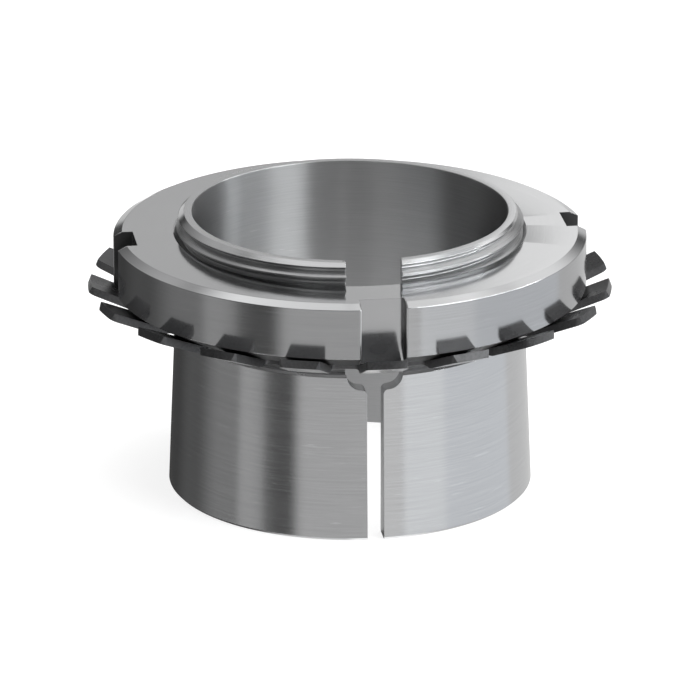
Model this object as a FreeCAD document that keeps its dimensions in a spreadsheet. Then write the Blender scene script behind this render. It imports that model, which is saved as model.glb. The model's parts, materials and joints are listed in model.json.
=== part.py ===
import FreeCAD, Part
import math
import os

import Sketcher

# Bearing adapter sleeve: a slit taper sleeve on the shaft, with its lock nut and lock washer.
# The large end of the sleeve stands on Z = 0, the axis is Z, and the slit points to -Y.

# Driving dimensions in millimetres and degrees
SIZES = (
    ("bore_diameter", 50.0, "shaft bore of the sleeve"),
    ("thread_wall", 2.5, "wall from the bore to the thread crest"),
    ("thread_length", 16.0, "threaded end, lead chamfer included"),
    ("thread_lead", 1.2, "chamfer that leads into the thread"),
    ("relief_depth", 1.35, "depth of the relief under the thread crest"),
    ("relief_width", 2.0, "relief between the thread and the taper"),
    ("taper_length", 27.0, "tapered seat for the bearing"),
    ("taper_ratio", 12.0, "length of taper for each unit of diameter"),
    ("shoulder_step", 0.375, "rise from the thread crest to the taper"),
    ("shoulder_chamfer", 0.35, "chamfer on the small end of the taper"),
    ("foot_chamfer", 0.4, "outer chamfer on the large end"),
    ("bore_chamfer", 0.25, "bore chamfer at the large end"),
    ("slit_width", 2.6, "slit through the whole length of the wall"),
    ("key_slot_width", 8.8, "wide part of the slit, for the key tang"),
    ("key_slot_overrun", 2.4, "how far the wide part runs into the taper"),
    ("slit_mouth_radius", 0.8, "rounding where the slit opens into the wide part"),
    ("nut_width", 11.0, "lock nut from face to face"),
    ("nut_ring", 10.0, "nut from the thread crest to its outside"),
    ("nut_top_land", 1.4, "radial width of the top chamfer"),
    ("nut_top_drop", 0.7, "height of the top chamfer"),
    ("nut_foot_land", 4.0, "radial width of the chamfer towards the washer"),
    ("nut_foot_angle", 30.0, "slope of that chamfer"),
    ("nut_clearance", 0.1, "thread crest to the bore of the nut"),
    ("nut_mouth_land", 0.4, "radial width of the countersink at each end of that bore"),
    ("nut_mouth_angle", 30.0, "slope of the countersink"),
    ("spanner_slot_width", 7.0, "slot for a hook spanner"),
    ("spanner_slot_depth", 3.25, "depth of that slot"),
    ("spanner_slot_count", 4.0, "slots round the nut"),
    ("slot_edge_break", 0.25, "broken edge along each slot"),
    ("washer_thickness", 1.25, "sheet of the lock washer"),
    ("washer_standoff", 2.5, "shoulder of the taper to the washer"),
    ("washer_clearance", 0.25, "thread crest to the bore of the washer"),
    ("key_side_clearance", 0.4, "key tang to each side of its slot"),
    ("key_tip_clearance", 0.4, "key tang short of the shaft bore"),
    ("tang_count", 19.0, "outer tangs"),
    ("tang_width", 6.5, "width of an outer tang"),
    ("tang_overhang", 4.1, "tang tips outside the nut"),
    ("tang_angle", 23.4, "set of the tangs above the washer"),
    ("tang_bend_radius", 1.0, "inside radius of that bend"),
    ("tang_corner_radius", 1.2, "rounded tip corners"),
    ("gap_depth", 1.8, "gaps between the tangs, inside the bend"),
    ("gap_corner_radius", 0.7, "rounded corners in those gaps"),
)

MARGIN = 2.0  # how far a cutting outline runs past the metal
BOTH_WAYS = 2.0  # a cut that is centred on its sketch plane has half its length on each side


class Term:
    """A size with its number and the formula that ties it to the sheet."""

    def __init__(self, number, formula):
        self.number = number
        self.formula = formula

    @staticmethod
    def of(value):
        return value if isinstance(value, Term) else Term(float(value), repr(float(value)))

    def join(self, other, sign, number):
        return Term(number, f"({self.formula} {sign} {Term.of(other).formula})")

    def __add__(self, other):
        return self.join(other, "+", self.number + Term.of(other).number)

    def __sub__(self, other):
        return self.join(other, "-", self.number - Term.of(other).number)

    def __mul__(self, other):
        return self.join(other, "*", self.number * Term.of(other).number)

    def __truediv__(self, other):
        return self.join(other, "/", self.number / Term.of(other).number)

    def __neg__(self):
        return Term.of(0) - self

    def sin(self):
        return Term(math.sin(math.radians(self.number)), f"sin({self.formula})")

    def cos(self):
        return Term(math.cos(math.radians(self.number)), f"cos({self.formula})")

    def tan(self):
        return Term(math.tan(math.radians(self.number)), f"tan({self.formula})")


def make_sheet(doc):
    """The spreadsheet with one row for each driving dimension, and a Term for each of them."""
    sheet = doc.addObject("Spreadsheet::Sheet", "Sizes")
    terms = {}
    for row, (alias, value, note) in enumerate(SIZES, start=1):
        sheet.set(f"A{row}", note)
        sheet.set(f"B{row}", str(value))
        sheet.setAlias(f"B{row}", alias)
        terms[alias] = Term(value, f"Sizes.{alias}")
    doc.recompute()
    return terms


def make_body(doc, label):
    body = doc.addObject("PartDesign::Body", label)
    body.Label = label
    return body


def origin_feature(body, role):
    return next(item for item in body.Origin.OriginFeatures if item.Role == role)


class Outline:
    """A closed outline of lines and arcs in a sketch, each corner tied to the sheet."""

    def __init__(self, body, name, plane):
        self.sketch = body.newObject("Sketcher::SketchObject", name)
        self.sketch.AttachmentSupport = [(origin_feature(body, plane), "")]
        self.sketch.MapMode = "FlatFace"
        self.corners = []
        self.arcs = {}

    def to(self, across, up):
        """Next corner, reached by a straight line."""
        self.corners.append((Term.of(across), Term.of(up)))
        return self

    def arc_to(self, across, up, centre, radius):
        """Next corner, reached by an arc about centre."""
        self.arcs[len(self.corners)] = (centre, Term.of(radius))
        return self.to(across, up)

    def close(self):
        """Draws the outline, pins every corner to its place and returns the sketch."""
        points = [FreeCAD.Vector(across.number, up.number, 0) for across, up in self.corners]
        count = len(points)
        for index, start in enumerate(points):
            self.draw_edge(start, (index + 1) % count, points)
        ends = [self.ends_of(index, start) for index, start in enumerate(points)]
        for index in range(count):
            target = (index + 1) % count
            places = (index, ends[index][1], target, ends[target][0])
            self.sketch.addConstraint(Sketcher.Constraint("Coincident", *places))
        for index, (across, up) in enumerate(self.corners):
            self.pin("DistanceX", index, ends[index][0], across)
            self.pin("DistanceY", index, ends[index][0], up)
        for target, (centre, radius) in self.arcs.items():
            edge = (target - 1) % count
            number = self.sketch.addConstraint(Sketcher.Constraint("Radius", edge, radius.number))
            self.tie(number, f"radius_{edge}", radius)
        return self.sketch

    def draw_edge(self, start, target, points):
        """The line or arc from start to the corner with the number target."""
        end = points[target]
        if target in self.arcs:
            edge = self.draw_arc(start, end, self.arcs[target][0])
        else:
            edge = Part.LineSegment(start, end)
        self.sketch.addGeometry(edge, False)

    def draw_arc(self, start, end, centre):
        """The short way round centre, always drawn counter-clockwise."""
        middle = FreeCAD.Vector(Term.of(centre[0]).number, Term.of(centre[1]).number, 0)
        from_middle, to_middle = start - middle, end - middle
        crown = from_middle + to_middle
        crown.normalize()
        crown = middle + crown * from_middle.Length
        if from_middle.cross(to_middle).z < 0:
            start, end = end, start
        return Part.Arc(start, crown, end)

    def ends_of(self, index, start):
        """Which end of an edge comes first: 1 and 2 are its own first and last point."""
        edge = self.sketch.Geometry[index]
        flipped = (edge.StartPoint - start).Length > (edge.EndPoint - start).Length
        return (2, 1) if flipped else (1, 2)

    def pin(self, kind, index, place, term):
        rule = Sketcher.Constraint(kind, -1, 1, index, place, term.number)
        number = self.sketch.addConstraint(rule)
        self.tie(number, f"{kind}_{index}", term)

    def tie(self, number, name, term):
        if "Sizes." in term.formula:
            self.sketch.renameConstraint(number, name)
            self.sketch.setExpression(f"Constraints.{name}", term.formula)


def revolve(body, name, sketch):
    """A full turn of a half section about the axis of the body."""
    feature = body.newObject("PartDesign::Revolution", name)
    feature.Profile = sketch
    feature.ReferenceAxis = (sketch, ["V_Axis"])
    feature.Angle = 360.0
    body.Document.recompute()
    return feature


def cut_through(body, name, sketch, both_ways, reach):
    """A pocket along the normal of its sketch; it must take metal away."""
    before = body.Shape.Volume
    feature = body.newObject("PartDesign::Pocket", name)
    feature.Profile = sketch
    feature.Type = "Length"
    feature.Midplane = both_ways
    feature.Reversed = not both_ways
    feature.setExpression("Length", reach.formula)
    body.Document.recompute()
    if body.Shape.Volume >= before:
        raise ValueError(f"{name} cuts nothing")
    return feature


def repeat_round(body, name, feature, count):
    """Copies of a cut, evenly spaced round the axis."""
    pattern = body.newObject("PartDesign::PolarPattern", name)
    pattern.Originals = [feature]
    pattern.Axis = (origin_feature(body, "Z_Axis"), [""])
    pattern.Angle = 360.0
    pattern.setExpression("Occurrences", count.formula)
    body.Tip = pattern
    body.Document.recompute()
    return pattern


class Plan:
    """The sizes that follow from the driving dimensions and that more than one piece shares."""

    def __init__(self, given):
        self.bore_radius = given["bore_diameter"] / 2
        self.thread_radius = self.bore_radius + given["thread_wall"]
        self.shoulder_radius = self.thread_radius + given["shoulder_step"]
        self.taper_rise = Term.of(0.5) / given["taper_ratio"]
        self.foot_radius = self.shoulder_radius + given["taper_length"] * self.taper_rise
        self.thread_start = given["taper_length"] + given["relief_width"]
        self.sleeve_length = self.thread_start + given["thread_length"]
        self.nut_radius = self.thread_radius + given["nut_ring"]
        self.nut_face_radius = self.nut_radius - given["nut_foot_land"]
        self.washer_base = given["taper_length"] + given["washer_standoff"]
        self.nut_base = self.washer_base + given["washer_thickness"]
        self.tang_reach = self.nut_radius + given["tang_overhang"]


def build_sleeve(doc, given, plan):
    """Turned sleeve: bore, outside taper, relief and threaded end, then the slit and key slot."""
    body = make_body(doc, "adapter_sleeve")
    section_sleeve(body, given, plan)
    sketch = slit_outline(body, given, plan)
    cut_through(body, "Slit", sketch, False, plan.foot_radius + MARGIN)
    return body


def section_sleeve(body, given, plan):
    foot = given["foot_chamfer"]
    chamfer = given["shoulder_chamfer"]
    relief_radius = plan.thread_radius - given["relief_depth"]
    taper_end = given["taper_length"] - chamfer
    outline = Outline(body, "SleeveSection", "XZ_Plane")
    outline.to(plan.bore_radius + given["bore_chamfer"], 0)
    outline.to(plan.foot_radius - foot, 0)
    outline.to(plan.foot_radius - foot * plan.taper_rise, foot)
    outline.to(plan.shoulder_radius + chamfer * plan.taper_rise, taper_end)
    outline.to(plan.shoulder_radius - chamfer, given["taper_length"])
    outline.to(relief_radius, given["taper_length"])
    outline.to(relief_radius, plan.thread_start - given["relief_depth"])
    outline.to(plan.thread_radius, plan.thread_start)
    outline.to(plan.thread_radius, plan.sleeve_length - given["thread_lead"])
    outline.to(plan.thread_radius - given["thread_lead"], plan.sleeve_length)
    outline.to(plan.bore_radius, plan.sleeve_length)
    outline.to(plan.bore_radius, given["bore_chamfer"])
    revolve(body, "SleeveTurning", outline.close())


def slit_outline(body, given, plan):
    """Slit from end to end, wider above the taper, with round corners on both sides."""
    slit = given["slit_width"] / 2
    slot = given["key_slot_width"] / 2
    mouth = given["slit_mouth_radius"]
    corner = slot - slit - mouth
    floor = given["taper_length"] - given["key_slot_overrun"]
    top = plan.sleeve_length + MARGIN
    join = slit + mouth
    outline = Outline(body, "SlitOutline", "XZ_Plane")
    outline.to(-slit, -MARGIN)
    outline.to(slit, -MARGIN)
    outline.to(slit, floor - mouth)
    outline.arc_to(join, floor, (join, floor - mouth), mouth)
    outline.arc_to(slot, floor + corner, (join, floor + corner), corner)
    outline.to(slot, top)
    outline.to(-slot, top)
    outline.to(-slot, floor + corner)
    outline.arc_to(-join, floor, (-join, floor + corner), corner)
    outline.arc_to(-slit, floor - mouth, (-join, floor - mouth), mouth)
    return outline.close()


def build_nut(doc, given, plan):
    """Lock nut with its lower face on Z = 0 of its own body, placed on the washer."""
    body = make_body(doc, "lock_nut")
    section_nut(body, given, plan)
    sketch = spanner_slot_outline(body, given, plan)
    slot = cut_through(body, "SpannerSlot", sketch, True, (given["nut_width"] + MARGIN) * BOTH_WAYS)
    repeat_round(body, "SpannerSlots", slot, given["spanner_slot_count"])
    body.setExpression("Placement.Base.z", plan.nut_base.formula)
    return body


def section_nut(body, given, plan):
    bore = plan.thread_radius + given["nut_clearance"]
    mouth = bore + given["nut_mouth_land"]
    mouth_rise = given["nut_mouth_land"] * given["nut_mouth_angle"].tan()
    foot_rise = given["nut_foot_land"] * given["nut_foot_angle"].tan()
    width = given["nut_width"]
    outline = Outline(body, "NutSection", "XZ_Plane")
    outline.to(bore, mouth_rise)
    outline.to(mouth, 0)
    outline.to(plan.nut_face_radius, 0)
    outline.to(plan.nut_radius, foot_rise)
    outline.to(plan.nut_radius, width - given["nut_top_drop"])
    outline.to(plan.nut_radius - given["nut_top_land"], width)
    outline.to(mouth, width)
    outline.to(bore, width - mouth_rise)
    revolve(body, "NutTurning", outline.close())


def spanner_slot_outline(body, given, plan):
    """Square slot towards -Y, its outer edges broken at 45 degrees."""
    half = given["spanner_slot_width"] / 2
    broken = given["slot_edge_break"]
    floor = -(plan.nut_radius - given["spanner_slot_depth"])
    rim = -(plan.nut_radius - broken)
    outside = rim - MARGIN
    flare = half + MARGIN
    outline = Outline(body, "SpannerSlotOutline", "XY_Plane")
    outline.to(-half, floor)
    outline.to(-half, rim)
    outline.to(-flare, outside)
    outline.to(flare, outside)
    outline.to(half, rim)
    outline.to(half, floor)
    return outline.close()


def build_washer(doc, given, plan):
    """Lock washer: a flat ring, a key tang inwards, and formed tangs outwards."""
    body = make_body(doc, "lock_washer")
    section_washer(body, given, plan)
    depth = (given["washer_thickness"] + plan.tang_reach) * BOTH_WAYS
    cut_through(body, "RingBore", key_tang_outline(body, given, plan), True, depth)
    gap = cut_through(body, "TangGap", gap_outline(body, given, plan), True, depth)
    repeat_round(body, "TangGaps", gap, given["tang_count"])
    body.setExpression("Placement.Base.z", plan.washer_base.formula)
    return body


def section_washer(body, given, plan):
    """Half section of the formed disc: flat to the nut's face, then bent up to the tang tips."""
    sheet = given["washer_thickness"]
    inner = given["tang_bend_radius"]
    outer = inner + sheet
    lean, rise = given["tang_angle"].sin(), given["tang_angle"].cos()
    slope = given["tang_angle"].tan()
    hub = plan.bore_radius + given["key_tip_clearance"]
    bend = plan.nut_face_radius
    pivot = (bend, outer)
    low_bend = (bend + outer * lean, outer - outer * rise)
    high_bend = (bend + inner * lean, outer - inner * rise)
    low_tip = (plan.tang_reach, low_bend[1] + (plan.tang_reach - low_bend[0]) * slope)
    high_tip = (low_tip[0] - sheet * lean, low_tip[1] + sheet * rise)
    outline = Outline(body, "WasherSection", "XZ_Plane")
    outline.to(hub, 0)
    outline.to(bend, 0)
    outline.arc_to(*low_bend, pivot, outer)
    outline.to(*low_tip)
    outline.to(*high_tip)
    outline.to(*high_bend)
    outline.arc_to(bend, sheet, pivot, inner)
    outline.to(hub, sheet)
    revolve(body, "FormedDisc", outline.close())


def key_tang_outline(body, given, plan):
    """Bore of the ring, with the key tang left standing towards -Y."""
    ring = plan.thread_radius + given["washer_clearance"]
    half = given["key_slot_width"] / 2 - given["key_side_clearance"]
    tip = -(plan.bore_radius + given["key_tip_clearance"])
    side = Term(
        -math.sqrt(ring.number**2 - half.number**2),
        f"(-sqrt({ring.formula}^2 - {half.formula}^2))",
    )
    outline = Outline(body, "KeyTangOutline", "XY_Plane")
    outline.to(-half, tip)
    outline.to(-half, side)
    outline.arc_to(-ring, 0, (0, 0), ring)
    outline.arc_to(0, ring, (0, 0), ring)
    outline.arc_to(ring, 0, (0, 0), ring)
    outline.arc_to(half, side, (0, 0), ring)
    outline.to(half, tip)
    return outline.close()


def gap_outline(body, given, plan):
    """One gap between two tangs, drawn half a pitch from -Y, where a tang stands."""
    half_pitch = Term.of(180) / given["tang_count"]
    aside, along = half_pitch.sin(), half_pitch.cos()
    width = given["tang_width"] / 2
    tip = given["tang_corner_radius"]
    root = given["gap_corner_radius"]
    floor = plan.nut_face_radius - given["gap_depth"]
    root_step = root * (Term.of(45) - half_pitch / 2).tan()
    root_corner = (floor - width * aside) / along

    def on_gap(lateral, radial):
        """A place on the tang, measured from the centre line of the gap."""
        return (radial * aside - lateral * along, radial * along + lateral * aside)

    floor_end = on_gap(width, root_corner)[0] - root_step
    root_centre = (floor_end, floor + root)
    wall_root = on_gap(width, root_corner + root_step)
    wall_tip = on_gap(width, plan.tang_reach - tip)
    tip_centre = on_gap(width - tip, plan.tang_reach - tip)
    tip_end = on_gap(width - tip, plan.tang_reach)
    outside = (tip_end[0], plan.tang_reach + MARGIN)
    places = [(floor_end, floor), wall_root, wall_tip, tip_end, outside]
    centres = {1: (root_centre, root), 3: (tip_centre, tip)}
    return mirrored_outline(body, "TangGapOutline", places, centres, half_pitch)


def mirrored_outline(body, name, places, centres, turn):
    """An outline with two equal halves, about a line that stands at an angle from -Y."""
    swing, stay = turn.sin(), turn.cos()

    def placed(place, side):
        across, out = place[0] * side, place[1]
        return (across * stay + out * swing, across * swing - out * stay)

    outline = Outline(body, name, "XY_Plane")
    for index, place in enumerate(places):
        if index in centres:
            centre, radius = centres[index]
            outline.arc_to(*placed(place, 1), placed(centre, 1), radius)
        else:
            outline.to(*placed(place, 1))
    for index in reversed(range(len(places))):
        if index + 1 in centres:
            centre, radius = centres[index + 1]
            outline.arc_to(*placed(places[index], -1), placed(centre, -1), radius)
        else:
            outline.to(*placed(places[index], -1))
    return outline.close()


def check(doc, bodies):
    """Stops if an object failed or a sub-part isn't one sound solid."""
    for item in doc.Objects:
        if "Invalid" in item.State or "Error" in item.State:
            raise ValueError(f"{item.Name} failed: {item.State}")
    for body in bodies:
        shape = body.Shape
        if shape.isNull() or not shape.isValid() or len(shape.Solids) != 1:
            raise ValueError(f"{body.Label} isn't one sound solid")


def main():
    doc = FreeCAD.newDocument("adapter_sleeve_set")
    given = make_sheet(doc)
    plan = Plan(given)
    bodies = [
        build_sleeve(doc, given, plan),
        build_washer(doc, given, plan),
        build_nut(doc, given, plan),
    ]
    doc.recompute()
    check(doc, bodies)
    os.makedirs("parts", exist_ok=True)
    for body in bodies:
        body.Shape.exportStep(f"parts/{body.Label}.step")
        print(body.Label, round(body.Shape.Volume, 1), body.Shape.BoundBox)


main()
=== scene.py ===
"""Looks of a bearing adapter sleeve: bright sleeve and nut with their thread, and a dark tanged washer."""

import json
import logging
import math
from collections.abc import Callable
from dataclasses import dataclass, field
from enum import Enum, IntEnum
from typing import ClassVar

import bmesh
import bpy
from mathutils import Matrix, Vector

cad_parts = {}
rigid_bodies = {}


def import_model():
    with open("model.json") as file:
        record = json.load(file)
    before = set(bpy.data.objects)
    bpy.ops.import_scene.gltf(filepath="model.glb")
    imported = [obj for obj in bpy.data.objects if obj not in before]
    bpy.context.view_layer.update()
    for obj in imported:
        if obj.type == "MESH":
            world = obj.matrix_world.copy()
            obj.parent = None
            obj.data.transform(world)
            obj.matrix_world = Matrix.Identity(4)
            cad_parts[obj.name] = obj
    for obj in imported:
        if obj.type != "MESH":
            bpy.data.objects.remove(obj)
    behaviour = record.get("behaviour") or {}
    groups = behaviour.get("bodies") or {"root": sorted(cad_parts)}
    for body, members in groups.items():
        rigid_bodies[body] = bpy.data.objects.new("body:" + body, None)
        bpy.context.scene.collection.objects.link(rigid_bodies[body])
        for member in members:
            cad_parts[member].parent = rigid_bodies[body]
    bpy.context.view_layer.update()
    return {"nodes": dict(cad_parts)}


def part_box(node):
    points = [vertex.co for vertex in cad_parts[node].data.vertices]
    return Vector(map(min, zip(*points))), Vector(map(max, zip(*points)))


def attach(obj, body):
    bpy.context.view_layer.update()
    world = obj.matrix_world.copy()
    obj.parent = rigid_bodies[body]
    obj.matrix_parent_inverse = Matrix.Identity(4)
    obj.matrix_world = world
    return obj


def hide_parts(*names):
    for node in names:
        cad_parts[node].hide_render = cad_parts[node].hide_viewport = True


LOG = logging.getLogger("adapter_sleeve_set")
MM = 0.001
FULL_TURN = 2 * math.pi
HALF_TURN_DEGREES = 180.0
SAME_PLACE = 1e-7
EASE_STEPS = 3

Place = tuple[float, float]
Line = list[bmesh.types.BMVert]
Colour = tuple[float, float, float, float]


class Part(Enum):
    """CAD nodes of the set."""

    SLEEVE = "adapter_sleeve"
    NUT = "lock_nut"
    WASHER = "lock_washer"


class Body(Enum):
    """Bodies of the frame that the new meshes ride on."""

    SLEEVE = "sleeve"
    NUT = "nut"


class Cut(IntEnum):
    """How a surface of a steel piece was made, which tells its finish."""

    OUTSIDE = 0
    BORE = 1
    FACE = 2
    WALL = 3
    THREAD = 4
    EDGE = 5


def rounded_corner(corner: Place, before: Place, after: Place, radius: float, steps: int) -> list[Place]:
    """Places that round a corner of an outline.

    Args:
        corner: The sharp corner.
        before: A place on the line that comes in.
        after: A place on the line that goes out.
        radius: Radius of the rounding.
        steps: Straight pieces that the rounding is made of.

    Returns:
        The start of the rounding, the places along it and its end.
    """
    sharp = Vector(corner)
    back = (Vector(before) - sharp).normalized()
    forth = (Vector(after) - sharp).normalized()
    half_angle = back.angle(forth) / 2
    centre = sharp + (back + forth).normalized() * (radius / math.sin(half_angle))
    reach = radius / math.tan(half_angle)
    first, last = sharp + back * reach - centre, sharp + forth * reach - centre
    spokes = [first.lerp(last, step / steps).normalized() for step in range(steps + 1)]
    return [tuple(centre + spoke * radius) for spoke in spokes]


def eased(corners: list[Place], ease: float) -> list[Place]:
    """An open outline with its inner corners rounded.

    Args:
        corners: Corners in order, of which the first and the last stay as they are.
        ease: Radius of every rounding.

    Returns:
        The places of the new outline.
    """
    places = corners[:1]
    for before, corner, after in zip(corners, corners[1:], corners[2:]):
        places += rounded_corner(corner, before, after, ease, EASE_STEPS)
    return places + corners[-1:]


@dataclass(frozen=True)
class ThreadForm:
    """Right-hand 60 degree thread, 55 mm across its crests with a pitch of 2 mm.

    The crest is flat over its share of the pitch, and one crest passes the slit at the crest height.
    """

    pitch: float = 2.0 * MM
    crest_radius: float = 27.5 * MM
    depth: float = 1.22 * MM
    crest_share: float = 1 / 8
    crest_rounding: float = 0.07 * MM
    root_rounding: float = 0.2 * MM
    flank_angle: float = math.radians(60)
    crest_height: float = 42.91 * MM
    corner_steps: int = 2

    def outline(self, growth: float = 0.0) -> list[Place]:
        """One turn of the thread in half section, from root to root.

        Args:
            growth: How far the outline stands off the metal of the screw, as that of a nut does.

        Returns:
            Places as height above the crest's middle and radius, from the bottom up.
        """
        slope = math.tan(self.flank_angle)
        crest = self.crest_radius + growth
        root = crest - self.depth
        crest_half = self.pitch * self.crest_share / 2 + growth * math.tan(self.flank_angle / 2)
        root_start = crest_half + self.depth / slope
        middle, corner = (0.0, crest), (crest_half, crest)
        heel, valley = (root_start, root), (self.pitch / 2, root)
        upper = rounded_corner(corner, middle, heel, self.crest_rounding, self.corner_steps)
        upper += rounded_corner(heel, corner, valley, self.root_rounding, self.corner_steps)
        lower = [(-height, radius) for height, radius in reversed(upper)]
        return lower + upper

    def rows(self, outline: list[Place], low: float, high: float, angle: float) -> list[Place]:
        """The thread from below a height to above another, at one angle round the axis.

        Args:
            outline: One turn, from outline().
            low: Height that the first row stays under at every angle.
            high: Height that the last row stays over at every angle.
            angle: Angle from the slit, counter-clockwise seen from above.

        Returns:
            Places as radius and height, from the bottom up. Their number doesn't change with the angle.
        """
        first = math.floor((low - self.crest_height) / self.pitch) - 1
        last = math.ceil((high - self.crest_height) / self.pitch) + 1
        lead = self.crest_height + self.pitch * angle / FULL_TURN
        return [
            (radius, lead + turn * self.pitch + height)
            for turn in range(first, last + 1)
            for height, radius in outline
        ]


def trimmed_rows(
    rows: list[Place], bound: Callable[[float], float], low: float, high: float, side: int
) -> list[Place]:
    """Rows of a thread trimmed by chamfers and by the faces at both ends.

    Args:
        rows: Radius and height, from the bottom up.
        bound: Radius of the chamfers at a height.
        low: Height of the lower end.
        high: Height of the upper end.
        side: 1 where metal stays inside the bound, -1 where it stays outside.

    Returns:
        The rows, moved onto the bound where they stand past it, with one more after each of them
        that lies where the outline crosses the bound.
    """

    def spare(row: Place) -> float:
        return side * (bound(row[1]) - row[0])

    def trimmed(row: Place) -> Place:
        height = min(max(row[1], low), high)
        at_end = height in (low, high)
        return (bound(height) if at_end or spare((row[0], height)) < 0 else row[0], height)

    kept = []
    for start, end in zip(rows, rows[1:]):
        crosses = spare(start) * spare(end) < 0
        share = spare(start) / (spare(start) - spare(end)) if crosses else 0.5
        between = (start[0] + (end[0] - start[0]) * share, start[1] + (end[1] - start[1]) * share)
        kept += [trimmed(start), trimmed(between)]
    return kept


class MeshMaker:
    """Collects vertices and faces of one piece and turns them into an object."""

    def __init__(self, name: str) -> None:
        """Starts an empty mesh for the piece with that name."""
        self.name = name
        self.mesh = bmesh.new()

    def column(self, rows: list[Place], turns: list[float]) -> Line:
        """One line of vertices.

        Args:
            rows: Radius and height of each vertex.
            turns: Angle of each vertex from the slit, counter-clockwise seen from above.

        Returns:
            The new vertices, in the order of the rows.
        """
        return [
            self.mesh.verts.new((radius * math.sin(turn), -radius * math.cos(turn), height))
            for (radius, height), turn in zip(rows, turns)
        ]

    def face(self, corners: Line, cut: Cut = Cut.OUTSIDE) -> None:
        """Adds one face and marks how it was made."""
        self.mesh.faces.new(corners).material_index = cut

    def strip(self, first: Line, second: Line) -> None:
        """Adds the quads between two lines of vertices."""
        for index in range(len(first) - 1):
            self.face([first[index], second[index], second[index + 1], first[index + 1]])

    def finish(self, sharp_angle: float) -> bpy.types.Object:
        """Joins what coincides and makes the object.

        Args:
            sharp_angle: Edges that turn by more than this angle stay sharp.

        Returns:
            The new object, linked to the scene.
        """
        bmesh.ops.remove_doubles(self.mesh, verts=self.mesh.verts, dist=SAME_PLACE)
        bmesh.ops.dissolve_degenerate(self.mesh, edges=self.mesh.edges, dist=SAME_PLACE)
        bmesh.ops.recalc_face_normals(self.mesh, faces=self.mesh.faces)
        return shaded(mesh_object(self.name, self.mesh), sharp_angle)


def mesh_object(name: str, mesh: bmesh.types.BMesh) -> bpy.types.Object:
    """Turns a finished mesh into an object.

    Args:
        name: Name of the object and of its mesh.
        mesh: The faces, which are freed afterwards.

    Returns:
        The new object, linked to the scene.
    """
    data = bpy.data.meshes.new(name)
    mesh.to_mesh(data)
    mesh.free()
    made = bpy.data.objects.new(name, data)
    bpy.context.scene.collection.objects.link(made)
    return made


def shaded(piece: bpy.types.Object, sharp_angle: float) -> bpy.types.Object:
    """Shades a piece smooth up to its sharp edges.

    Args:
        piece: The object.
        sharp_angle: Edges that turn by more than this angle stay sharp.

    Returns:
        The same object.
    """
    piece.data.polygons.foreach_set("use_smooth", [True] * len(piece.data.polygons))
    piece.data.set_sharp_from_angle(angle=sharp_angle)
    even = piece.modifiers.new("even_faces", "WEIGHTED_NORMAL")
    even.keep_sharp = True
    return piece


@dataclass
class SlitWall:
    """Plan of the slit: narrow in the taper, wide above it, with round corners between."""

    slit_half: float = 1.3 * MM
    slot_half: float = 4.4 * MM
    floor: float = 24.6 * MM
    mouth_radius: float = 0.8 * MM
    steps: int = 7

    def corner_radius(self) -> float:
        """Radius of the corners of the wide part."""
        return self.slot_half - self.slit_half - self.mouth_radius

    def round_stretch(self) -> list[Place]:
        """Half width and height along the round stretch, from the bottom up."""
        mouth, corner = self.mouth_radius, self.corner_radius()
        join = self.slit_half + mouth
        quarter = [math.pi / 2 * step / self.steps for step in range(self.steps + 1)]
        lower = [
            (join - mouth * math.cos(turn), self.floor - mouth + mouth * math.sin(turn))
            for turn in quarter
        ]
        upper = [
            (join + corner * math.sin(turn), self.floor + corner - corner * math.cos(turn))
            for turn in quarter
        ]
        return lower + upper[1:]

    def round_heights(self) -> list[float]:
        """Heights along the round stretch, from the bottom up."""
        return [height for _, height in self.round_stretch()]

    def half_width(self, height: float) -> float:
        """Half width of the opening at a height."""
        stretch = self.round_stretch()
        if height <= stretch[0][1]:
            return self.slit_half
        for below, above in zip(stretch, stretch[1:]):
            if height <= above[1]:
                share = (height - below[1]) / (above[1] - below[1])
                return below[0] + (above[0] - below[0]) * share
        return self.slot_half


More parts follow.
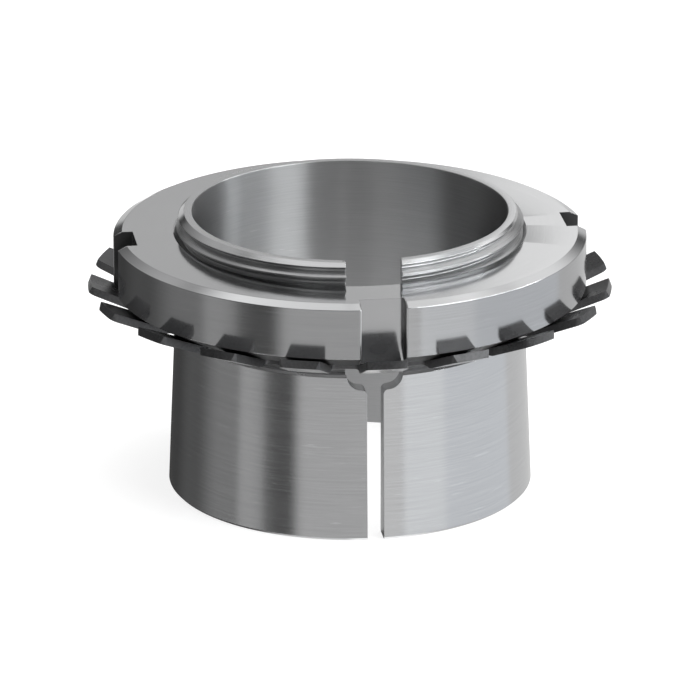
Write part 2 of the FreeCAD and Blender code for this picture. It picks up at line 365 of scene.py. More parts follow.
@dataclass
class AdapterSleeve:
    """Slit taper sleeve with its cut thread, standing on its large end."""

    thread: ThreadForm = field(default_factory=ThreadForm)
    wall: SlitWall = field(default_factory=SlitWall)
    bore: float = 25.0 * MM
    length: float = 45.0 * MM
    bore_chamfer: float = 0.25 * MM
    foot_chamfer: float = 0.4 * MM
    foot_radius: float = 29.0 * MM
    shoulder_radius: float = 27.875 * MM
    shoulder_chamfer: float = 0.35 * MM
    taper_length: float = 27.0 * MM
    relief_radius: float = 26.15 * MM
    thread_start: float = 29.0 * MM
    lead: float = 1.2 * MM
    edge_ease: float = 0.15 * MM
    skin: float = 0.05 * MM
    columns: int = 330
    sharp_angle: float = math.radians(34)

    def limit(self, height: float) -> float:
        """Largest radius of the threaded end at a height, inside the lead chamfer and the relief."""
        crest = self.thread.crest_radius
        return min(crest, crest - self.thread_start + height, crest - self.lead + self.length - height)

    def thread_rows(self, angle: float) -> list[Place]:
        """Thread from the relief to the top face, trimmed by the chamfers, at one angle."""
        relief_top = self.thread_start - (self.thread.crest_radius - self.relief_radius)
        rows = self.thread.rows(self.thread.outline(), relief_top, self.length, angle)
        return trimmed_rows(rows, self.limit, relief_top, self.length, 1)

    def taper_radius(self, height: float) -> float:
        """Radius of the tapered seat at a height."""
        share = height / self.taper_length
        return self.foot_radius + (self.shoulder_radius - self.foot_radius) * share

    def seat_rows(self, heights: list[float]) -> list[Place]:
        """Tapered seat and shoulder, up to the relief.

        Args:
            heights: Heights that need a row, all under the shoulder's top.

        Returns:
            Those rows and the ones of the shoulder's rounded chamfer, from the bottom up.
        """
        chamfer_start = self.taper_length - self.shoulder_chamfer
        corners = [
            (self.taper_radius(heights[0]), heights[0]),
            (self.taper_radius(chamfer_start), chamfer_start),
            (self.shoulder_radius - self.shoulder_chamfer, self.taper_length),
            (self.relief_radius, self.taper_length),
        ]
        outline = eased(corners, self.edge_ease)
        rows = outline[:1]
        for start, end in zip(outline, outline[1:]):
            for height in heights:
                if start[1] < height < end[1]:
                    share = (height - start[1]) / (end[1] - start[1])
                    rows.append((start[0] + (end[0] - start[0]) * share, height))
            rows.append(end)
        return rows

    def foot_rows(self) -> list[Place]:
        """Bottom face with its chamfers, up to where the slit starts to widen."""
        return [
            (self.bore, self.bore_chamfer),
            (self.bore + self.bore_chamfer, 0.0),
            (self.foot_radius - self.foot_chamfer, 0.0),
            (self.taper_radius(self.foot_chamfer), self.foot_chamfer),
        ]

    def column_rows(self, angle: float) -> list[Place]:
        """One closed section of the sleeve.

        Args:
            angle: Angle from the slit, which the thread depends on.

        Returns:
            Radius and height from the bore's lower chamfer round the outside and back down the bore.
        """
        heights = self.wall.round_heights()
        inside = [(self.bore, height) for height in reversed(heights)]
        face_edge = (self.thread.crest_radius - self.lead, self.length)
        mouth = rounded_corner((self.bore, self.length), face_edge, inside[0], self.edge_ease, EASE_STEPS)
        return self.foot_rows() + self.seat_rows(heights) + self.thread_rows(angle) + mouth + inside

    def build(self) -> bpy.types.Object:
        """Makes the mesh in place of the plain CAD sleeve."""
        maker = MeshMaker("threaded_sleeve")
        slot_edge = math.asin(self.wall.slot_half / self.thread.crest_radius)
        lines = []
        for step in range(self.columns + 1):
            share = step / self.columns
            rows = self.column_rows(slot_edge + share * (FULL_TURN - 2 * slot_edge))
            edges = [math.asin(self.wall.half_width(height) / radius) for radius, height in rows]
            turns = [edge + share * (FULL_TURN - 2 * edge) for edge in edges]
            lines.append(maker.column(rows, turns))
        for first, second in zip(lines, lines[1:]):
            maker.strip(first + first[:1], second + second[:1])
        for line in (lines[0], lines[-1]):
            self.close_wall(maker, line)
        return maker.finish(self.sharp_angle)

    def close_wall(self, maker: MeshMaker, line: Line) -> None:
        """Fills one wall of the slit: flat below, in strips round the corners, flat above.

        Args:
            maker: The mesh of the sleeve.
            line: The vertices along this wall.
        """
        heights = self.wall.round_heights()
        foot_count, round_count = len(self.foot_rows()), len(heights)
        seat_end = foot_count + len(self.seat_rows(heights))
        inner = list(reversed(line[-round_count:]))
        outer = self.matching_rows(line[foot_count:seat_end], inner)
        maker.face(line[: foot_count + 1] + inner[:1], Cut.WALL)
        for index in range(round_count - 1):
            start, end = line.index(outer[index]), line.index(outer[index + 1])
            maker.face(line[start : end + 1] + [inner[index + 1], inner[index]], Cut.WALL)
        start = line.index(outer[-1])
        maker.face(line[start : len(line) - round_count + 1], Cut.WALL)

    @staticmethod
    def matching_rows(seat: Line, inner: Line) -> Line:
        """The vertices of the seat that stand at the heights of the inner ones."""
        return [min(seat, key=lambda other: abs(other.co.z - vertex.co.z)) for vertex in inner]

    def in_thread(self, spot: Vector) -> bool:
        """Whether a spot of the surface lies in the thread or the relief, clear of the lead chamfer."""
        radius, height = spot.xy.length, spot.z
        on_chamfer = height > self.length - self.lead and radius > self.limit(height) - self.skin
        between = self.taper_length + self.skin < height < self.length - self.skin
        return between and radius > self.relief_radius - self.skin and not on_chamfer

    def dress(self, piece: bpy.types.Object) -> None:
        """Gives the sleeve its finishes and its place in the frame.

        Args:
            piece: The sleeve, from build().
        """
        for face in piece.data.polygons:
            if face.material_index == Cut.OUTSIDE and self.in_thread(face.center):
                face.material_index = Cut.THREAD
        SteelDress(SLEEVE_FINISHES, self.bore + self.bore_chamfer).put_on(piece)
        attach(piece, Body.SLEEVE.value)
        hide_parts(Part.SLEEVE.value)


@dataclass
class LockNut:
    """Slotted round nut with a cut thread, between its lower and its upper face."""

    thread: ThreadForm = field(default_factory=ThreadForm)
    outside: float = 37.5 * MM
    face_radius: float = 33.5 * MM
    foot_angle: float = math.radians(30)
    top_land: float = 1.4 * MM
    top_drop: float = 0.7 * MM
    slot_half: float = 3.5 * MM
    slot_floor: float = 34.25 * MM
    slot_break: float = 0.25 * MM
    slot_count: int = 4
    mouth_radius: float = 28.0 * MM
    mouth_angle: float = math.radians(30)
    edge_ease: float = 0.14 * MM
    thread_play: float = 0.035 * MM
    columns: int = 360
    sharp_angle: float = math.radians(34)

    def outside_rows(self, low: float, high: float) -> list[Place]:
        """Half section from the lower countersink round the outside to the upper one.

        Args:
            low: Height of the lower face.
            high: Height of the upper face.

        Returns:
            Radius and height of each place, with the corners between them rounded.
        """
        corners = [
            (self.mouth_radius, low),
            (self.face_radius, low),
            (self.outside, low + (self.outside - self.face_radius) * math.tan(self.foot_angle)),
            (self.outside, high - self.top_drop),
            (self.outside - self.top_land, high),
            (self.mouth_radius, high),
        ]
        return eased(corners, self.edge_ease)[1:-1]

    def build(self) -> bpy.types.Object:
        """Makes the mesh in place of the plain CAD nut."""
        low_corner, high_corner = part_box(Part.NUT.value)
        low, high = low_corner.z, high_corner.z
        outline = self.thread.outline(self.thread_play)
        slope = math.tan(self.mouth_angle)

        def mouth(height: float) -> float:
            return self.mouth_radius - min(height - low, high - height) / slope

        outside = self.outside_rows(low, high)
        maker = MeshMaker("threaded_nut")
        lines = []
        for step in range(self.columns + 1):
            angle = FULL_TURN * step / self.columns
            thread = trimmed_rows(self.thread.rows(outline, low, high, angle), mouth, low, high, -1)
            rows = outside + list(reversed(thread))
            lines.append(maker.column(rows, [angle] * len(rows)))
        for first, second in zip(lines, lines[1:]):
            maker.strip(first + first[:1], second + second[:1])
        ring = maker.finish(self.sharp_angle)
        return self.slotted(ring, low, high)

    def slotted(self, ring: bpy.types.Object, low: float, high: float) -> bpy.types.Object:
        """Cuts the spanner slots, their outer edges broken at 45 degrees.

        Args:
            ring: The nut without slots.
            low: Height of its lower face.
            high: Height of its upper face.

        Returns:
            The slotted nut.
        """
        margin = 2.0 * MM
        side, rim = self.slot_half, self.outside - self.slot_break
        half = [(side, self.slot_floor), (side, rim), (side + margin, rim + margin)]
        plan = half + [(-across, out) for across, out in reversed(half)]
        cutter_mesh = bmesh.new()
        for index in range(self.slot_count):
            turn = FULL_TURN * index / self.slot_count
            self.add_prism(cutter_mesh, plan, turn, low - margin, high + margin)
        cutter = mesh_object("spanner_slot_cutter", cutter_mesh)
        cut = ring.modifiers.new("spanner_slots", "BOOLEAN")
        cut.operation = "DIFFERENCE"
        cut.solver = "EXACT"
        cut.object = cutter
        graph = bpy.context.evaluated_depsgraph_get()
        result = bpy.data.meshes.new_from_object(ring.evaluated_get(graph))
        ring.modifiers.clear()
        ring.data = result
        bpy.data.objects.remove(cutter)
        return shaded(ring, self.sharp_angle)

    @staticmethod
    def add_prism(mesh: bmesh.types.BMesh, plan: list[Place], turn: float, low: float, high: float) -> None:
        """Adds a closed prism over a plan that points to -Y before it is turned.

        Args:
            mesh: The cutter.
            plan: Corners as distance across and distance outwards.
            turn: Angle round the axis.
            low: Lower end.
            high: Upper end.
        """
        rings = []
        for height in (low, high):
            ring = []
            for across, out in plan:
                x = across * math.cos(turn) + out * math.sin(turn)
                y = across * math.sin(turn) - out * math.cos(turn)
                ring.append(mesh.verts.new((x, y, height)))
            rings.append(ring)
        count = len(plan)
        for index in range(count):
            after = (index + 1) % count
            mesh.faces.new([rings[0][index], rings[0][after], rings[1][after], rings[1][index]])
        mesh.faces.new(list(reversed(rings[0])))
        mesh.faces.new(rings[1])
        bmesh.ops.recalc_face_normals(mesh, faces=mesh.faces)

    def dress(self, piece: bpy.types.Object) -> None:
        """Gives the nut its finishes and its place in the frame.

        Args:
            piece: The nut, from build().
        """
        # Faces that look down take the very dark wall finish: painted shade between the nut and the washer.
        SteelDress(NUT_FINISHES, self.mouth_radius + self.edge_ease, below=Cut.WALL).put_on(piece)
        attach(piece, Body.NUT.value)
        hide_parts(Part.NUT.value)


class LockWasher:
    """Tanged washer, which keeps its CAD mesh."""

    def dress(self, piece: bpy.types.Object) -> None:
        """Gives the washer its dark finish.

        Args:
            piece: The washer's CAD node.
        """
        piece.data.materials.clear()
        piece.data.materials.append(WASHER_FINISH.material())


class Graph:
    """Short ways to add and link nodes in a node tree."""

    def __init__(self, tree: bpy.types.NodeTree) -> None:
        """Works on that tree."""
        self.tree = tree

    def node(self, kind: str, inputs: dict | None = None, **settings: object) -> bpy.types.Node:
        """Adds a node.

        Args:
            kind: Blender's name of the node type.
            inputs: Values or output sockets for input sockets, by name or number.
            **settings: Properties of the node.

        Returns:
            The new node.
        """
        node = self.tree.nodes.new(kind)
        for name, value in settings.items():
            setattr(node, name, value)
        for name, value in (inputs or {}).items():
            self.feed(node.inputs[name], value)
        return node

    def feed(self, socket: bpy.types.NodeSocket, value: object) -> None:
        """Links an output socket to an input, or sets its value."""
        if isinstance(value, bpy.types.NodeSocket):
            self.tree.links.new(value, socket)
        else:
            socket.default_value = value

    def math(self, operation: str, *values: object) -> bpy.types.NodeSocket:
        """Adds a Math node.

        Args:
            operation: Blender's name of the operation.
            *values: Numbers or output sockets, in the order of the node's inputs.

        Returns:
            Its output.
        """
        node = self.node("ShaderNodeMath", operation=operation)
        for socket, value in zip(node.inputs, values):
            self.feed(socket, value)
        return node.outputs[0]

    def ranged(
        self, value: object, low: float, high: float, to_low: float = 0.0, to_high: float = 1.0
    ) -> bpy.types.NodeSocket:
        """Adds a Map Range node, which is smooth and clamped.

        Args:
            value: The number or output socket to map.
            low: Value that gives to_low.
            high: Value that gives to_high.
            to_low: Start of the result's range.
            to_high: End of the result's range.

        Returns:
            Its output.
        """
        names = ("Value", "From Min", "From Max", "To Min", "To Max")
        inputs = dict(zip(names, (value, low, high, to_low, to_high)))
        return self.node("ShaderNodeMapRange", inputs, interpolation_type="SMOOTHSTEP").outputs[0]

    def noise(self, spot: bpy.types.NodeSocket, scale: float, detail: float) -> bpy.types.NodeSocket:
        """Adds a Noise Texture node and returns its first output."""
        inputs = {"Vector": spot, "Scale": scale, "Detail": detail}
        return self.node("ShaderNodeTexNoise", inputs).outputs[0]


def empty_material(name: str) -> tuple[bpy.types.Material, Graph]:
    """Makes a material that has no nodes yet.

    Args:
        name: Name of the material.

    Returns:
        The material, and the graph that its nodes are added with.
    """
    material = bpy.data.materials.new(name)
    material.use_nodes = True
    material.node_tree.nodes.clear()
    return material, Graph(material.node_tree)


class TurnedSurface:
    """Node group with the marks that turning and handling leave round an axis."""

    NAME = "turned_surface"
    INPUTS = {"Lines per mm": 9.0, "Line length": 3.0, "Scratches per mm": 1.6}
    WIDE_RANGE = (0.3, 0.7)
    SCRATCH_RANGE = (0.66, 0.76)
    SCRATCH_STRETCH = 1.7
    TONE_SCALE = 38.0

    @classmethod
    def group(cls) -> bpy.types.NodeTree:
        """The group, built the first time that it is asked for."""
        if cls.NAME in bpy.data.node_groups:
            return bpy.data.node_groups[cls.NAME]
        tree = bpy.data.node_groups.new(cls.NAME, "ShaderNodeTree")
        for name, value in cls.INPUTS.items():
            socket = tree.interface.new_socket(name, in_out="INPUT", socket_type="NodeSocketFloat")
            socket.default_value = value
        for name in ("Lines", "Scratches", "Tone"):
            tree.interface.new_socket(name, in_out="OUTPUT", socket_type="NodeSocketFloat")
        cls.wire(Graph(tree))
        return tree

    @classmethod
    def wire(cls, graph: Graph) -> None:
        """Lines and scratches that run round the axis, and a slow change of tone."""
        given = graph.node("NodeGroupInput").outputs
        result = graph.node("NodeGroupOutput").inputs
        spot = graph.node("ShaderNodeTexCoord").outputs["Object"]
        x, y, z = graph.node("ShaderNodeSeparateXYZ", {0: spot}).outputs
        squares = [graph.math("MULTIPLY", value, value) for value in (x, y)]
        radius = graph.math("SQRT", graph.math("ADD", *squares))
        east, north = graph.math("DIVIDE", x, radius), graph.math("DIVIDE", y, radius)

        def marks(length: object, per_mm: object, detail: float) -> bpy.types.NodeSocket:
            across = graph.math("MULTIPLY", per_mm, 1 / MM)
            along = [graph.math("MULTIPLY", share, length) for share in (east, north)]
            along.append(graph.math("MULTIPLY", z, across))
            where = graph.node("ShaderNodeCombineXYZ", dict(enumerate(along)))
            inputs = {
                "Vector": where.outputs[0],
                "W": graph.math("MULTIPLY", radius, across),
                "Scale": 1.0,
                "Detail": detail,
            }
            return graph.node("ShaderNodeTexNoise", inputs, noise_dimensions="4D").outputs[0]

        lines = marks(given["Line length"], given["Lines per mm"], 3.0)
        graph.feed(result["Lines"], graph.ranged(lines, *cls.WIDE_RANGE))
        stretched = graph.math("MULTIPLY", given["Line length"], cls.SCRATCH_STRETCH)
        scratches = marks(stretched, given["Scratches per mm"], 2.0)
        graph.feed(result["Scratches"], graph.ranged(scratches, *cls.SCRATCH_RANGE))
        tone = graph.noise(spot, cls.TONE_SCALE, 3.0)
        graph.feed(result["Tone"], graph.ranged(tone, *cls.WIDE_RANGE))


@dataclass(frozen=True)
class SteelFinish:
    """Bright steel with fine turning marks round its axis.

    The marks spread a reflection across themselves, so the roughness is largest across the marks
    and smallest along them.
    """

    name: str
    grey: float
    contrast: float
    roughness: float
    roughness_spread: float
    line_depth: float
    anisotropy: float
    edge_radius: float = 0.1 * MM

    TINT: ClassVar[tuple[float, float, float]] = (0.995, 1.0, 1.01)
    LINE_SHARE: ClassVar[float] = 0.6
    TONE_SHARE: ClassVar[float] = 0.4
    SCRATCH_SHARE: ClassVar[float] = 0.8
    SCRATCH_DEPTH: ClassVar[float] = 1.5
    QUARTER_TURN: ClassVar[float] = 0.25
    EDGE_SAMPLES: ClassVar[int] = 4

    def colour(self, level: float) -> Colour:
        """A hardly bluish grey of that level."""
        red, green, blue = (level * share for share in self.TINT)
        return (red, green, blue, 1.0)

    def material(self) -> bpy.types.Material:
        """Builds the material."""
        material, graph = empty_material(self.name)
        lines, scratches, tone = graph.node("ShaderNodeGroup", node_tree=TurnedSurface.group()).outputs
        shine = graph.math("MULTIPLY", lines, self.LINE_SHARE)
        for mark, share in ((tone, self.TONE_SHARE), (scratches, self.SCRATCH_SHARE)):
            shine = graph.math("ADD", shine, graph.math("MULTIPLY", mark, share))
        spread = self.grey * self.contrast
        shades = {"Factor": shine, "A": self.colour(self.grey - spread), "B": self.colour(self.grey + spread)}
        colour = graph.node("ShaderNodeMix", shades, data_type="RGBA", clamp_factor=False)
        rough = graph.ranged(lines, 0.0, 1.0, self.roughness, self.roughness + self.roughness_spread)
        rounded = graph.node("ShaderNodeBevel", {"Radius": self.edge_radius}, samples=self.EDGE_SAMPLES)
        height = graph.math("SUBTRACT", lines, graph.math("MULTIPLY", scratches, self.SCRATCH_DEPTH))
        bumps = {"Height": height, "Distance": self.line_depth, "Strength": 1.0, "Normal": rounded.outputs[0]}
        shader = graph.node("ShaderNodeBsdfPrincipled", {
            "Metallic": 1.0,
            "Anisotropic": self.anisotropy,
            "Anisotropic Rotation": self.QUARTER_TURN,
            "Base Color": colour.outputs["Result"],
            "Roughness": rough,
            "Normal": graph.node("ShaderNodeBump", bumps).outputs[0],
            "Tangent": graph.node("ShaderNodeTangent", direction_type="RADIAL", axis="Z").outputs[0],
        })
        graph.node("ShaderNodeOutputMaterial", {"Surface": shader.outputs[0]})
        return material


@dataclass
class SteelDress:
    """The finishes of one steel piece, by the way that its surfaces were made.

    The leans are shares of a face's normal, along the axis or sideways, above which the face is an
    end face or a wall, or else a broken edge.
    """

    finishes: dict[Cut, SteelFinish]
    bore_limit: float
    below: Cut = Cut.FACE
    lean: float = 0.8
    edge_lean: float = 0.6

    def put_on(self, piece: bpy.types.Object) -> None:
        """Gives every face of the piece the finish that its mark or else its place asks for.

        Args:
            piece: The piece, standing upright on its own axis.
        """
        marks = [Cut(face.material_index) for face in piece.data.polygons]
        piece.data.materials.clear()
        for finish in self.finishes.values():
            piece.data.materials.append(finish.material())
        numbers = {cut: number for number, cut in enumerate(self.finishes)}
        for face, mark in zip(piece.data.polygons, marks):
            face.material_index = numbers[mark if mark in (Cut.WALL, Cut.THREAD) else self.cut_of(face)]

    def cut_of(self, face: bpy.types.MeshPolygon) -> Cut:
        """Tells how a face of the piece was made by where it is and where it looks.

        Args:
            face: The face.

        Returns:
            The cut, which is a broken edge only where the piece has a finish for it.
        """
        out, aim = face.center.xy, face.normal
        sideways = abs(aim.xy.cross(out)) / out.length
        if sideways > self.lean:
            return Cut.WALL
        if sideways > self.edge_lean and Cut.EDGE in self.finishes:
            return Cut.EDGE
        if out.length < self.bore_limit and aim.xy.dot(out) < 0:
            return Cut.BORE
        if abs(aim.z) < self.lean:
            return Cut.OUTSIDE
        return Cut.FACE if aim.z > 0 else self.below


@dataclass(frozen=True)
class DarkFinish:
    """Dark phosphated sheet with a slight oily gloss; faces that look down are painted brighter, a painted
    reflection of the floor under it.
    """

    name: str
    base: Colour
    worn: Colour
    underside_painted_reflection: Colour
    roughness: float
    roughness_swing: float = 0.06
    metallic: float = 0.8
    grain_scale: float = 2600.0
    grain_share: float = 0.4
    grain_depth: float = 0.01 * MM
    grain_strength: float = 0.6
    cloud_scale: float = 120.0

    WORN_RANGE: ClassVar[tuple[float, float]] = (0.35, 0.65)
    CLOUD_RANGE: ClassVar[tuple[float, float]] = (0.3, 0.7)
    UNDER_RANGE: ClassVar[tuple[float, float]] = (-0.9, -0.7)

    def material(self) -> bpy.types.Material:
        """Builds the material."""
        material, graph = empty_material(self.name)
        spot = graph.node("ShaderNodeTexCoord").outputs["Object"]
        grain = graph.noise(spot, self.grain_scale, 3.0)
        cloud = graph.noise(spot, self.cloud_scale, 2.0)
        fine = graph.math("MULTIPLY", grain, self.grain_share)
        coarse = graph.math("MULTIPLY", cloud, 1.0 - self.grain_share)
        blend = graph.ranged(graph.math("ADD", fine, coarse), *self.WORN_RANGE)
        shades = {"Factor": blend, "A": self.base, "B": self.worn}
        dark = graph.node("ShaderNodeMix", shades, data_type="RGBA")
        normal = graph.node("ShaderNodeNewGeometry").outputs["True Normal"]
        upward = graph.node("ShaderNodeSeparateXYZ", {0: normal}).outputs[2]
        # Faces that look down get a lighter colour: painted reflection of the floor under the washer.
        below = graph.ranged(upward, *self.UNDER_RANGE, 1.0, 0.0)
        shades = {"Factor": below, "A": dark.outputs["Result"], "B": self.underside_painted_reflection}
        colour = graph.node("ShaderNodeMix", shades, data_type="RGBA")
        smooth, dull = self.roughness - self.roughness_swing, self.roughness + self.roughness_swing
        bumps = {"Height": grain, "Distance": self.grain_depth, "Strength": self.grain_strength}
        shader = graph.node("ShaderNodeBsdfPrincipled", {
            "Metallic": self.metallic,
            "Base Color": colour.outputs["Result"],
            "Roughness": graph.ranged(cloud, *self.CLOUD_RANGE, smooth, dull),
            "Normal": graph.node("ShaderNodeBump", bumps).outputs[0],
        })
        graph.node("ShaderNodeOutputMaterial", {"Surface": shader.outputs[0]})
        return material


SLEEVE_FINISHES = {
    Cut.OUTSIDE: SteelFinish(
        "turned_taper", grey=0.62, contrast=0.06, roughness=0.12,
        roughness_spread=0.05, line_depth=0.003 * MM, anisotropy=0.6,
    ),
    Cut.BORE: SteelFinish(
        "bored_steel", grey=0.43, contrast=0.1, roughness=0.36,
        roughness_spread=0.04, line_depth=0.002 * MM, anisotropy=1.0,
    ),
    Cut.FACE: SteelFinish(
        "faced_sleeve", grey=0.62, contrast=0.03, roughness=0.12,
        roughness_spread=0.03, line_depth=0.0006 * MM, anisotropy=0.2,
    ),
    Cut.WALL: SteelFinish(
        "milled_slit", grey=0.4, contrast=0.06, roughness=0.5,
        roughness_spread=0.06, line_depth=0.002 * MM, anisotropy=0.0,
    ),
    Cut.THREAD: SteelFinish(
        "cut_thread", grey=0.45, contrast=0.06, roughness=0.27,
        roughness_spread=0.06, line_depth=0.001 * MM, anisotropy=0.4,
    ),
}
NUT_FINISHES = {
    Cut.OUTSIDE: SteelFinish(
        "turned_nut_side", grey=0.5, contrast=0.04, roughness=0.12,
        roughness_spread=0.04, line_depth=0.001 * MM, anisotropy=0.4,
    ),
    Cut.BORE: SteelFinish(
        "cut_nut_thread", grey=0.36, contrast=0.05, roughness=0.3,
        roughness_spread=0.05, line_depth=0.001 * MM, anisotropy=0.4,
    ),
    Cut.FACE: SteelFinish(
        "faced_nut", grey=0.62, contrast=0.02, roughness=0.1,
        roughness_spread=0.03, line_depth=0.0004 * MM, anisotropy=0.2,
    ),
    # Very dark steel on the spanner slots' walls and on the faces that look down: painted shade in the slots
    # and between the nut and the washer.
    Cut.WALL: SteelFinish(
        "nut_slot_and_underside_painted_shade", grey=0.1, contrast=0.04, roughness=0.42,
        roughness_spread=0.05, line_depth=0.002 * MM, anisotropy=0.0,
    ),
    # Near-white steel on the 45 degree breaks of the slot edges: a painted highlight along those edges.
    Cut.EDGE: SteelFinish(
        "broken_edge_painted_highlight", grey=0.95, contrast=0.02, roughness=0.3,
        roughness_spread=0.05, line_depth=0.0004 * MM, anisotropy=0.0, edge_radius=0.02 * MM,
    ),
}
WASHER_FINISH = DarkFinish(
    "phosphated_sheet",
    base=(0.06, 0.06, 0.062, 1.0),
    worn=(0.1, 0.1, 0.102, 1.0),
    # Lighter colour of the faces that look down: painted reflection of the floor.
    underside_painted_reflection=(0.34, 0.34, 0.34, 1.0),
    roughness=0.3,
)


@dataclass(frozen=True)
class Panel:
    """A soft-edged patch of light in the studio, in degrees round and above the object.

    A bearing of 0 is the camera's side, and bearings grow to the right, seen from the camera.
    """

    strength: float
    start: float
    end: float
    edge: float = 8.0
    low: float = -91.0
    high: float = 8.0
    fade: float = 8.0
    tint: tuple[float, float, float] = (1.0, 1.0, 1.0)

    def window(
        self, graph: Graph, bearing: bpy.types.NodeSocket, height: bpy.types.NodeSocket
    ) -> bpy.types.NodeSocket:
        """Share of the panel's light that comes from one direction.

        Args:
            graph: The world's nodes.
            bearing: Bearing of the direction, in degrees.
            height: Angle above the horizon, in degrees.

        Returns:
            The output with the share, from 0 to 1.
        """
        middle, half = (self.start + self.end) / 2, (self.end - self.start) / 2
        turned = graph.math("SUBTRACT", bearing, middle)
        aside = graph.math("ABSOLUTE", graph.math("WRAP", turned, HALF_TURN_DEGREES, -HALF_TURN_DEGREES))
        across = graph.ranged(aside, half - self.edge / 2, half + self.edge / 2, 1.0, 0.0)
        over = graph.ranged(height, self.low - self.fade / 2, self.low + self.fade / 2)
        under = graph.ranged(height, self.high - self.fade / 2, self.high + self.fade / 2, 1.0, 0.0)
        return graph.math("MULTIPLY", across, graph.math("MULTIPLY", over, under))


@dataclass
class Studio:
    """Camera at the photograph's angle, plain pale floor and a soft studio round the object.

    The camera's distance, elevation and azimuth tell its place from the spot on the axis at the
    watched height, and it is turned to the spot at the aimed height.
    """

    bore: float
    focal_pixels: float = 6787.6
    image_pixels: float = 700.0
    sensor: float = 36.0
    distance: float = 1075.4 * MM
    aimed_height: float = 21.39 * MM
    watched_height: float = 41.75 * MM
    elevation: float = math.radians(18.47)
    azimuth: float = math.radians(8.1)
    aside_pixels: float = 0.1
    nearest: float = 0.05
    farthest: float = 20.0
    floor_size: float = 6.0
    floor_gap: float = 0.02 * MM
    floor_grey: float = 0.3
    floor_roughness: float = 0.9
    floor_glow: float = 0.8
    bore_glow: float = 0.75
    lamp_size: float = 1.6
    lamp_power: float = 24.0
    lamp_spot: tuple[float, float, float] = (0.25, -0.1, 1.5)
    backdrop: Colour = (0.99, 0.99, 0.99, 1.0)
    ambient: float = 0.06
    panels: tuple[Panel, ...] = (
        # Tall panels round the object, which its upright sides mirror.
        Panel(0.17, -75.5, -56.5, edge=7.0, low=-35.0),
        Panel(0.14, -104.0, -56.5, edge=24.0, low=-35.0),
        Panel(0.05, -136.0, -56.5, edge=24.0, low=-35.0),
        Panel(0.04, -56.5, -34.5, edge=6.0, low=-35.0),
        Panel(0.47, -34.5, 15.0, edge=10.0, low=-35.0),
        Panel(0.68, 15.0, 34.5, edge=6.0, low=-35.0),
        Panel(0.85, 34.5, 63.0, edge=3.0, low=-35.0, tint=(0.96, 0.98, 1.0)),
        Panel(0.76, 63.0, 122.0, edge=3.0, low=-35.0, tint=(0.93, 0.96, 1.0)),
        Panel(0.62, 122.0, 180.0, edge=3.0, high=12.0, fade=4.0),
        # Low panels behind it, which its flat top faces mirror, and upper ones for its chamfers.
        Panel(0.50, -181.05, -168.0, edge=0.5, low=14.0, high=30.0, fade=3.0),
        Panel(1.03, 168.0, 178.95, edge=0.5, low=14.0, high=30.0, fade=3.0),
        Panel(1.00, 112.0, 168.0, low=24.0, high=54.0, fade=24.0),
        Panel(0.34, -168.0, -112.0, low=24.0, high=60.0, fade=30.0),
        Panel(0.15, -149.0, -95.0, edge=6.0, low=8.0, high=46.0),
        # Small panels behind it near the horizon, for the shoulder and the washer's edges.
        Panel(0.60, -176.0, -156.0, edge=6.0, low=-13.0, high=5.0, fade=4.0),
        Panel(0.90, -184.0, -174.0, edge=3.0, low=-13.0, high=5.0, fade=4.0),
        # Upper panels at its right, of which the strong ones shine down into the bore.
        Panel(0.70, 66.0, 112.0, edge=4.0, low=38.0, high=62.0, tint=(0.97, 0.99, 1.0)),
        Panel(10.5, 36.0, 72.0, edge=2.0, low=28.0, high=48.0, fade=3.0, tint=(0.97, 0.99, 1.0)),
        Panel(9.00, 72.0, 92.0, edge=3.0, low=25.0, high=36.0, fade=3.0, tint=(0.97, 0.99, 1.0)),
        Panel(17.0, 92.0, 110.0, edge=3.0, low=23.0, high=31.0, fade=3.0, tint=(0.97, 0.99, 1.0)),
        Panel(0.30, 109.0, 142.0, edge=6.0, low=22.0, high=36.0, fade=3.0, tint=(0.97, 0.99, 1.0)),
        # Upper panels at its left and in front of it, for the thread and the lead chamfer.
        Panel(0.32, -112.0, -82.0, edge=6.0, low=36.0, high=56.0, fade=6.0),
        Panel(0.90, -38.0, -18.0, edge=2.0, low=25.0, high=44.0, fade=3.0),
        # Ceiling, low front and floor, which faces that look up or down mirror.
        Panel(0.90, -181.0, 181.0, low=54.0, high=91.0, fade=12.0),
        Panel(0.90, -110.0, 110.0, edge=20.0, low=-36.0, high=-27.0, fade=3.0),
        Panel(0.80, -181.0, 181.0, low=-91.0, high=-60.0, fade=10.0),
    )

    def place_camera(self) -> None:
        """Makes the camera and the scene's view."""
        ground = self.distance * math.cos(self.elevation)
        spot = Vector((
            -math.sin(self.azimuth) * ground,
            -math.cos(self.azimuth) * ground,
            self.watched_height + self.distance * math.sin(self.elevation),
        ))
        data = bpy.data.cameras.new("photo_camera")
        data.sensor_width = self.sensor
        data.lens = self.focal_pixels * self.sensor / self.image_pixels
        data.clip_start = self.nearest
        data.clip_end = self.farthest
        camera = bpy.data.objects.new(data.name, data)
        sideways = self.aside_pixels / self.focal_pixels
        aim = Vector((0.0, 0.0, self.aimed_height)) - spot
        pitch = math.atan2(aim.z, math.hypot(aim.x, aim.y))
        yaw = math.atan2(aim.y, aim.x) - sideways
        camera.location = spot
        camera.rotation_euler = (math.pi / 2 + pitch, 0.0, yaw - math.pi / 2)
        bpy.context.scene.collection.objects.link(camera)
        bpy.context.scene.camera = camera
        bpy.context.scene.view_settings.view_transform = "Standard"

    def lay_floor(self) -> None:
        """Lays the pale floor, which the bright metal mirrors only inside the bore."""
        maker = bmesh.new()
        bmesh.ops.create_grid(maker, x_segments=1, y_segments=1, size=self.floor_size)
        floor = mesh_object("studio_floor", maker)
        floor.location.z = -self.floor_gap
        floor.data.materials.append(self.floor_material())

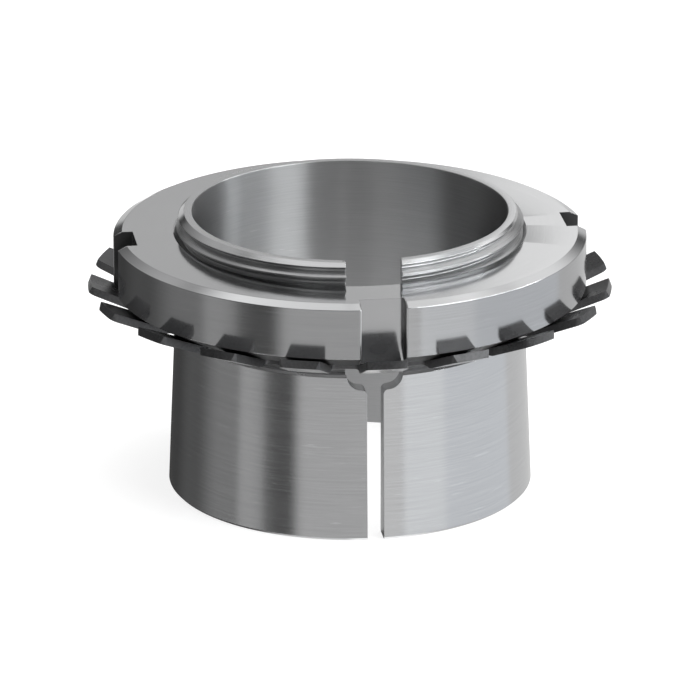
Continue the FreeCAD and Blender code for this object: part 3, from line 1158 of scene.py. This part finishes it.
    def floor_material(self) -> bpy.types.Material:
        """White floor that gives off some light itself, and less of it to mirrors in the bore."""
        material, graph = empty_material("pale_floor")
        spot = graph.node("ShaderNodeNewGeometry").outputs["Position"]
        flat = graph.node("ShaderNodeVectorMath", {0: spot, 1: (1.0, 1.0, 0.0)}, operation="MULTIPLY")
        away = graph.node("ShaderNodeVectorMath", {0: flat.outputs[0]}, operation="LENGTH")
        outside = graph.math("GREATER_THAN", away.outputs["Value"], self.bore)
        mirrored = graph.node("ShaderNodeLightPath").outputs["Is Glossy Ray"]
        shader = graph.node("ShaderNodeBsdfPrincipled", {
            "Base Color": (self.floor_grey, self.floor_grey, self.floor_grey, 1.0),
            "Roughness": self.floor_roughness,
            "Specular IOR Level": 0.0,
            "Emission Color": (1.0, 1.0, 1.0, 1.0),
            "Emission Strength": graph.ranged(mirrored, 0.0, 1.0, self.floor_glow, self.bore_glow),
        })
        clear = graph.node("ShaderNodeBsdfTransparent")
        surfaces = {0: graph.math("MULTIPLY", outside, mirrored), 1: shader.outputs[0], 2: clear.outputs[0]}
        mixed = graph.node("ShaderNodeMixShader", surfaces)
        graph.node("ShaderNodeOutputMaterial", {"Surface": mixed.outputs[0]})
        return material

    def hang_light(self) -> None:
        """Hangs one large soft light over the object for the floor and its shadow."""
        data = bpy.data.lights.new("overhead_softbox", "AREA")
        data.shape = "DISK"
        data.size = self.lamp_size
        data.energy = self.lamp_power
        light = bpy.data.objects.new(data.name, data)
        light.location = self.lamp_spot
        light.rotation_euler = (0.0, math.atan2(self.lamp_spot[0], self.lamp_spot[2]), 0.0)
        light.visible_glossy = False
        bpy.context.scene.collection.objects.link(light)

    def light_world(self) -> None:
        """Surrounds the object with upright panels, a bright right side and a bright ceiling."""
        world = bpy.data.worlds.new("soft_studio")
        bpy.context.scene.world = world
        world.use_nodes = True
        world.node_tree.nodes.clear()
        graph = Graph(world.node_tree)
        way = graph.node("ShaderNodeTexCoord").outputs["Generated"]
        x, y, z = graph.node("ShaderNodeSeparateXYZ", {0: way}).outputs
        side, cosine = math.sin(self.azimuth), math.cos(self.azimuth)
        near = graph.math("SUBTRACT", graph.math("MULTIPLY", x, -side), graph.math("MULTIPLY", y, cosine))
        right = graph.math("SUBTRACT", graph.math("MULTIPLY", x, cosine), graph.math("MULTIPLY", y, side))
        bearing = graph.math("DEGREES", graph.math("ARCTAN2", right, near))
        height = graph.math("DEGREES", graph.math("ARCSINE", z))
        total = graph.node("ShaderNodeCombineXYZ", dict.fromkeys(range(3), self.ambient)).outputs[0]
        for panel in self.panels:
            light = [panel.strength * share for share in panel.tint]
            inputs = {0: panel.window(graph, bearing, height), 1: light, 2: total}
            total = graph.node("ShaderNodeVectorMath", inputs, operation="MULTIPLY_ADD").outputs[0]
        seen = graph.node("ShaderNodeLightPath").outputs["Is Camera Ray"]
        shades = {"Factor": seen, "A": total, "B": self.backdrop}
        shown = graph.node("ShaderNodeMix", shades, data_type="RGBA").outputs["Result"]
        shader = graph.node("ShaderNodeBackground", {"Color": shown, "Strength": 1.0})
        graph.node("ShaderNodeOutputWorld", {"Surface": shader.outputs[0]})


def report(piece: bpy.types.Object) -> None:
    """Logs a finished piece."""
    LOG.info("%s: %d faces", piece.name, len(piece.data.polygons))


def main() -> None:
    """Builds the set piece by piece and reports each one."""
    logging.basicConfig(level=logging.INFO, format="%(message)s")
    for default in list(bpy.data.objects):
        bpy.data.objects.remove(default)
    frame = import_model()

    sleeve = AdapterSleeve()
    piece = sleeve.build()
    sleeve.dress(piece)
    report(piece)

    nut = LockNut()
    piece = nut.build()
    nut.dress(piece)
    report(piece)

    piece = frame["nodes"][Part.WASHER.value]
    LockWasher().dress(piece)
    report(piece)

    studio = Studio(sleeve.bore)
    studio.place_camera()
    studio.lay_floor()
    studio.hang_light()
    studio.light_world()
    LOG.info("studio: %d panels", len(studio.panels))


if __name__ == "__main__":
    main()
